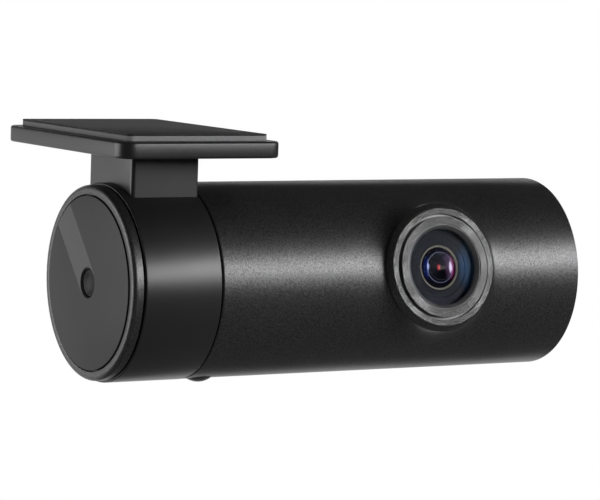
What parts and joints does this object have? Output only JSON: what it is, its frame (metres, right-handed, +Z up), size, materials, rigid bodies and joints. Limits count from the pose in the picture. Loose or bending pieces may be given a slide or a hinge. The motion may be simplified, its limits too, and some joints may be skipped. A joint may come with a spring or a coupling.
{
  "type": "dash camera",
  "caption": "Cylindrical dash camera with a wide lens, hung from a glass plate by a neck and clamp collar, tilting about its own length",
  "frame": {"origin": "centre of the adhesive film's upper face, where the part meets the windscreen", "axes": "+X along the camera cylinder away from the button end, +Y toward the back, away from the lens, +Z up, out of the adhesive face"},
  "size_m": [0.0939, 0.0469, 0.0438],
  "materials": {
    "body_finish": "fine metallic grey satin paint",
    "disc_finish": "smooth satin grey",
    "stripe_finish": "lighter satin grey",
    "bezel_metal": "turned, brushed round the axis",
    "black_plastic": "matt black",
    "front_glass": "polished, blue-violet coating",
    "inner_glass": "polished, coated",
    "baffle_finish": "dark olive anodised",
    "adhesive": "smooth black film",
    "foam": "closed-cell grey foam",
    "seal_rubber": "matt black rubber",
    "screw_steel": "zinc plated",
    "board_green": "solder mask",
    "chip_black": "moulded package",
    "flex_amber": "polyimide film",
    "connector_white": "moulded white",
    "plated_metal": "pressed and plated",
    "sink_aluminium": "extruded",
    "gap_pad": "soft thermal pad",
    "sleeve_blue": "shrink sleeve",
    "antenna_ceramic": "chip ceramic",
    "card_plastic": "matt moulded",
    "lamp_lens": "smoked, frosted",
    "speaker_frame": "moulded frame",
    "cone_paper": "coated cone"
  },
  "bodies": {
    "mount": {"adhesive_film": "adhesive", "foam_pad": "foam", "mount_plate": "body_finish", "plate_screws": "screw_steel", "neck_collar": "body_finish"},
    "camera": {"end_cap": "body_finish", "end_cap_screws": "screw_steel", "end_disc": "disc_finish", "end_stripe": "stripe_finish", "tact_switch": "plated_metal", "button_board": "board_green", "button_board_screws": "screw_steel", "button_flex": "flex_amber", "flex_connectors": "connector_white", "chassis": "black_plastic", "friction_ring": "seal_rubber", "main_shell": "body_finish", "chassis_screws": "screw_steel", "right_end_cap": "body_finish", "speaker": "speaker_frame", "speaker_cone": "cone_paper", "speaker_gasket": "seal_rubber", "lens_bezel": "bezel_metal", "lens_surround": "black_plastic", "lens_trim_ring": "bezel_metal", "front_lens": "front_glass", "lens_barrel": "black_plastic", "lens_baffle": "baffle_finish", "middle_lens": "inner_glass", "rear_lens": "inner_glass", "lens_seal": "seal_rubber", "lens_holder": "black_plastic", "ir_filter": "inner_glass", "image_sensor": "chip_black", "sensor_board": "board_green", "sensor_screws": "screw_steel", "sensor_flex": "flex_amber", "main_board": "board_green", "board_screws": "screw_steel", "processor": "chip_black", "thermal_pad": "gap_pad", "heat_sink": "sink_aluminium", "memory_chips": "chip_black", "power_parts": "chip_black", "wifi_antenna": "antenna_ceramic", "supercapacitors": "sleeve_blue", "capacitor_leads": "plated_metal", "microphone": "plated_metal", "mic_gasket": "seal_rubber", "status_lens": "lamp_lens", "status_led": "connector_white", "card_socket": "plated_metal", "inlet_shell": "plated_metal", "inlet_tongue": "black_plastic"},
    "button": {"power_button": "black_plastic", "switch_plunger": "connector_white"},
    "card": {"memory_card": "card_plastic"}
  },
  "joints": [
    {"name": "camera_tilt", "type": "hinge", "parent": "mount", "child": "camera", "pos_m": [-0.0024, -0.0042, -0.02635], "axis": [1, 0, 0], "range_deg": [-80, 100]},
    {"name": "button_press", "type": "slide", "parent": "camera", "child": "button", "axis": [1, 0, 0], "range_m": [0, 0.0004], "stiffness_N_per_m": 600, "springref_m": -0.001},
    {"name": "card_slide", "type": "slide", "parent": "camera", "child": "card", "axis": [0, 0.9848, -0.1736], "range_m": [0, 0.015]}
  ]
}
